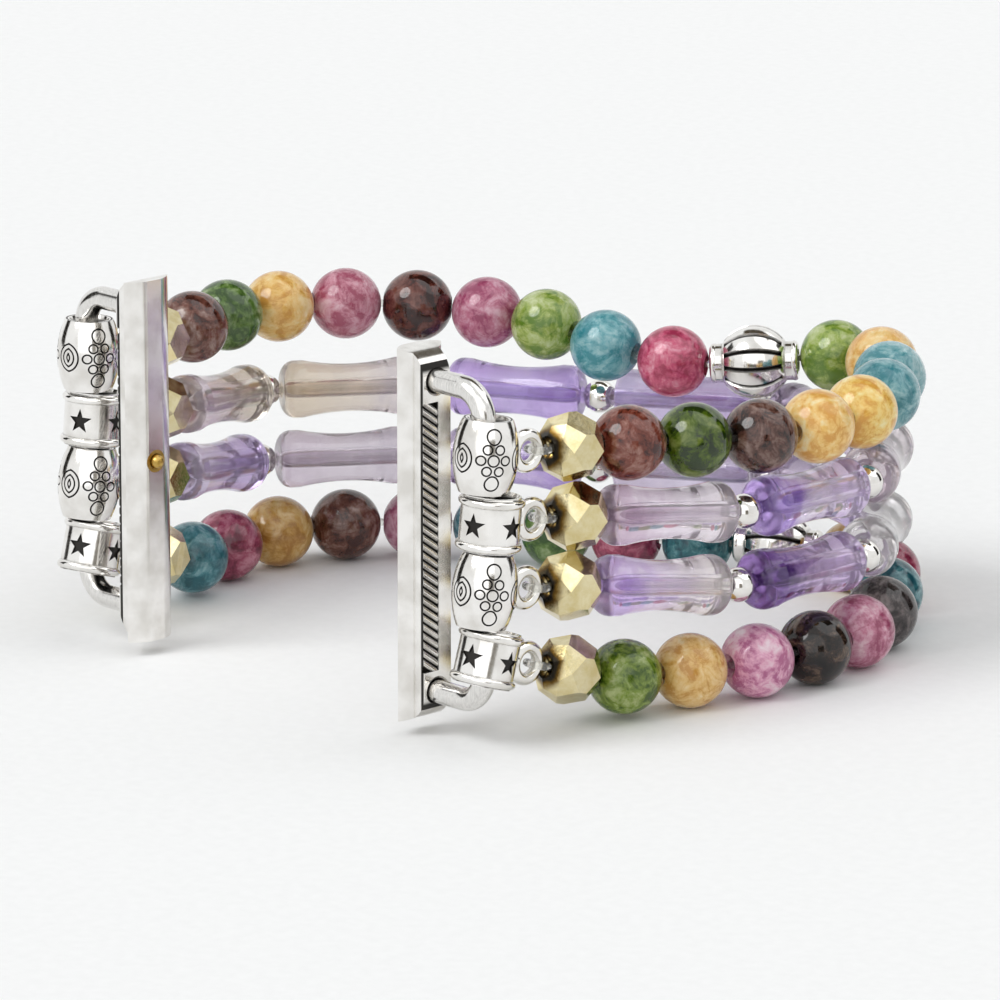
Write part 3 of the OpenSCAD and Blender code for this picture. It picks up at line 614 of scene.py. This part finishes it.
def cloudPattern(tree, place, cloud, mottle, crack, veins):
    # broad clouds, fine flecks and thin healed cracks, from 0 deep to 1 pale
    broad = addNode(tree, "ShaderNodeTexNoise",
                    {"Scale": 1 / (cloud * mm), "Detail": 5.0, "Roughness": 0.62, "Distortion": 0.7},
                    {"Vector": place})
    fine = addNode(tree, "ShaderNodeTexNoise",
                   {"Scale": 1 / (mottle * mm), "Detail": 3.0, "Roughness": 0.7},
                   {"Vector": place})
    fac = addNode(tree, "ShaderNodeMath", {"operation": "MULTIPLY_ADD", 1: 0.30},
                  {0: fine.outputs["Fac"], 2: broad.outputs["Fac"]})
    fac = addNode(tree, "ShaderNodeMath", {"operation": "ADD", 1: -0.15}, {0: fac.outputs[0]})
    bend = addNode(tree, "ShaderNodeVectorMath", {"operation": "SCALE", "Scale": 1.6 * mm},
                   {0: broad.outputs["Color"]})
    bent = addNode(tree, "ShaderNodeVectorMath", {"operation": "ADD"}, {0: place, 1: bend.outputs[0]})
    edge = addNode(tree, "ShaderNodeTexVoronoi",
                   {"feature": "DISTANCE_TO_EDGE", "Scale": 1 / (crack * mm)},
                   {"Vector": bent.outputs[0]})
    line = addNode(tree, "ShaderNodeMapRange", {1: 0.0, 2: 0.03, 3: veins, 4: 0.0},
                   {0: edge.outputs["Distance"]})
    patchy = addNode(tree, "ShaderNodeMath", {"operation": "MULTIPLY"},
                     {0: line.outputs[0], 1: fine.outputs["Fac"]})
    return addNode(tree, "ShaderNodeMath", {"operation": "ADD"},
                   {0: fac.outputs[0], 1: patchy.outputs[0]}).outputs[0], fine


def polishedStone(name, clear, bloom, beads):
    material, tree, place = newMaterial(name)
    fac, fine = cloudPattern(tree, place, stone["cloud"], stone["mottle"], stone["crack"], stone["veins"])
    colour = None
    for middle, deep, body, pale in beads:
        ramp = addNode(tree, "ShaderNodeValToRGB", None, {0: fac})
        rampStops(ramp, [(0.40, deep), (0.52, body), (0.68, pale)])
        if colour is None:
            colour = ramp.outputs[0]
            continue
        gap = addNode(tree, "ShaderNodeVectorMath",
                      {"operation": "DISTANCE", 1: tuple(c * mm for c in middle)}, {0: place})
        own = addNode(tree, "ShaderNodeMath", {"operation": "LESS_THAN", 1: stone["reach"] * mm},
                      {0: gap.outputs["Value"]})
        colour = addNode(tree, "ShaderNodeMix", {"data_type": "RGBA"},
                         {0: own.outputs[0], 6: colour, 7: ramp.outputs[0]}).outputs[2]
    gloss = addNode(tree, "ShaderNodeMapRange",
                    {1: 0.3, 2: 0.75, 3: stone["polish"] - 0.02, 4: stone["polish"] + 0.07},
                    {0: fine.outputs["Fac"]})
    bump = addNode(tree, "ShaderNodeBump", {"Strength": 0.03, "Distance": 0.02 * mm},
                   {"Height": fine.outputs["Fac"]})
    finishMaterial(tree,
                   {"IOR": stone["ior"], "Specular IOR Level": stone["shine"],
                    "Transmission Weight": clear, "Subsurface Weight": 0.25,
                    "Subsurface Radius": (1.0, 1.0, 1.0), "Subsurface Scale": stone["glow"] * mm,
                    "Sheen Weight": bloom, "Sheen Roughness": 0.35},
                   {"Base Color": colour, "Roughness": gloss.outputs[0], "Normal": bump.outputs[0]})
    return material


for colourName, kind in stones.items():
    dress(["stones_" + colourName], polishedStone("tourmaline_polished_" + colourName, kind["clear"],
                                                  kind["bloom"], kind["list"]))
print("round stones are dressed")


# Tubes: amethyst, cut, waisted and polished, colour in zones along each
amethyst = {
    "cloud": 3.4,       # mm
    "fleck": 0.5,       # mm
    "crack": 4.6,       # mm
    "veins": -0.10,
    "wander": 0.9,      # how far a zone's edge wanders, as a share of the length
    "veil": "#efe8ee",
    "clear": 0.82,
    "polish": 0.05,
    "ior": 1.544,
    "glow": 1.2,        # mm
}
# start, middle and end colour along the strand from the near side, then how dark the deep zones go
tubes = {
    "tube_2_1": ("#d6bdd3", "#faf0fc", "#f8f0f8", 0.92),
    "tube_2_2": ("#a884dc", "#faf2ff", "#ecd9fb", 0.88),
    "tube_2_3": ("#e0d3df", "#e4d8df", "#eae1e5", 0.82),
    "tube_2_4": ("#dccee0", "#ebe2ee", "#cfbddb", 0.80),
    "tube_2_5": ("#d2bfe8", "#dccdee", "#e2d4f6", 0.80),
    "tube_2_6": ("#ceb4f0", "#dac8f8", "#d2b8f3", 0.80),
    "tube_2_7": ("#e6dde1", "#ece1d6", "#e8dac8", 0.84),
    "tube_2_8": ("#e8ded0", "#e4d7d7", "#e0d1dc", 0.84),
    "tube_3_1": ("#d4b6f2", "#f4e8fb", "#faf4f2", 0.90),
    "tube_3_2": ("#693f94", "#e8d0f6", "#ecd9fa", 0.72),
    "tube_3_3": ("#f0edee", "#f2f0f1", "#ece9eb", 0.88),
    "tube_3_4": ("#cab4e4", "#dccdec", "#e4d8ea", 0.80),
    "tube_3_5": ("#dacde8", "#e3daee", "#d8cae0", 0.80),
    "tube_3_6": ("#bfa6e3", "#d4c1ec", "#d9c8ea", 0.74),
    "tube_3_7": ("#e0d7e3", "#e8dfe9", "#e0d4e1", 0.82),
    "tube_3_8": ("#d0bce8", "#ddcdec", "#e3d8eb", 0.78),
}


def ends(name, near):
    # the two ends of a long node, the one by the point near first
    points = np.array([v.co for v in nodes[name].data.vertices])
    middle = points.mean(0)
    axis = np.linalg.svd(points - middle, full_matrices=False)[2][0]
    spread = (points - middle) @ axis
    a, b = (Vector(middle + axis * s) for s in (spread.min(), spread.max()))
    return (a, b) if (a - near).length < (b - near).length else (b, a)


def amethystTube(name, start, end, colours):
    material, tree, place = newMaterial("amethyst_polished_" + name)
    first, second, third, depth = colours
    length = (end - start).length / mm
    reach = alongAxis(tree, place, start, (end - start).normalized())
    share = addNode(tree, "ShaderNodeMath", {"operation": "DIVIDE", 1: length}, {0: reach})
    fac, fine = cloudPattern(tree, place, amethyst["cloud"], amethyst["fleck"], amethyst["crack"],
                             amethyst["veins"])
    wander = addNode(tree, "ShaderNodeMath",
                     {"operation": "MULTIPLY_ADD", 1: amethyst["wander"], 2: -amethyst["wander"] / 2},
                     {0: fac})
    zone = addNode(tree, "ShaderNodeMath", {"operation": "ADD"},
                   {0: share.outputs[0], 1: wander.outputs[0]})
    ramp = addNode(tree, "ShaderNodeValToRGB", None, {0: zone.outputs[0]})
    rampStops(ramp, [(0.12, first), (0.5, second), (0.88, third)])
    level = addNode(tree, "ShaderNodeMapRange", {1: 0.3, 2: 0.62, 3: depth, 4: 1.0}, {0: fac})
    toned = addNode(tree, "ShaderNodeMix", {"data_type": "RGBA", "blend_type": "MULTIPLY", 0: 1.0},
                    {6: ramp.outputs[0], 7: level.outputs[0]})
    veil = addNode(tree, "ShaderNodeMapRange", {1: 0.58, 2: 0.78, 3: 0.0, 4: 0.55}, {0: fac})
    colour = addNode(tree, "ShaderNodeMix", {"data_type": "RGBA", 7: linear(amethyst["veil"])},
                     {0: veil.outputs[0], 6: toned.outputs[2]})
    gloss = addNode(tree, "ShaderNodeMapRange",
                    {1: 0.35, 2: 0.7, 3: amethyst["polish"] - 0.02, 4: amethyst["polish"] + 0.08},
                    {0: fine.outputs["Fac"]})
    bump = addNode(tree, "ShaderNodeBump", {"Strength": 0.04, "Distance": 0.03 * mm}, {"Height": fac})
    finishMaterial(tree,
                   {"IOR": amethyst["ior"], "Transmission Weight": amethyst["clear"],
                    "Subsurface Weight": 0.15, "Subsurface Radius": (1.0, 1.0, 1.0),
                    "Subsurface Scale": amethyst["glow"] * mm},
                   {"Base Color": colour.outputs[2], "Roughness": gloss.outputs[0],
                    "Normal": bump.outputs[0]})
    return material


for row in (2, 3):
    last = Vector(joints[f"near_gold_{row}_spin"]["pos_m"])
    for number in range(1, 9):
        name = f"tube_{row}_{number}"
        start, end = ends(name, last)
        dress([name], amethystTube(name, start, end, tubes[name]))
        last = end
print("amethyst tubes are dressed")


# Cord: clear elastic, drawn, faint haze
cord = {"tone": "#f6f6f3", "haze": "#e6e6e2", "patch": 0.8, "clear": 0.92, "ior": 1.5, "gloss": (0.04, 0.14)}
material, tree, place = newMaterial("elastic_cord_extruded")
haze = addNode(tree, "ShaderNodeTexNoise", {"Scale": 1 / (cord["patch"] * mm), "Detail": 2.0},
               {"Vector": place})
tone = addNode(tree, "ShaderNodeValToRGB", None, {0: haze.outputs["Fac"]})
rampStops(tone, [(0.35, cord["haze"]), (0.65, cord["tone"])])
gloss = addNode(tree, "ShaderNodeMapRange", {3: cord["gloss"][0], 4: cord["gloss"][1]},
                {0: haze.outputs["Fac"]})
finishMaterial(tree, {"IOR": cord["ior"], "Transmission Weight": cord["clear"]},
               {"Base Color": tone.outputs[0], "Roughness": gloss.outputs[0]})
dress(["cord_1", "cord_2", "cord_3", "cord_4"], material)
print("cords are dressed")
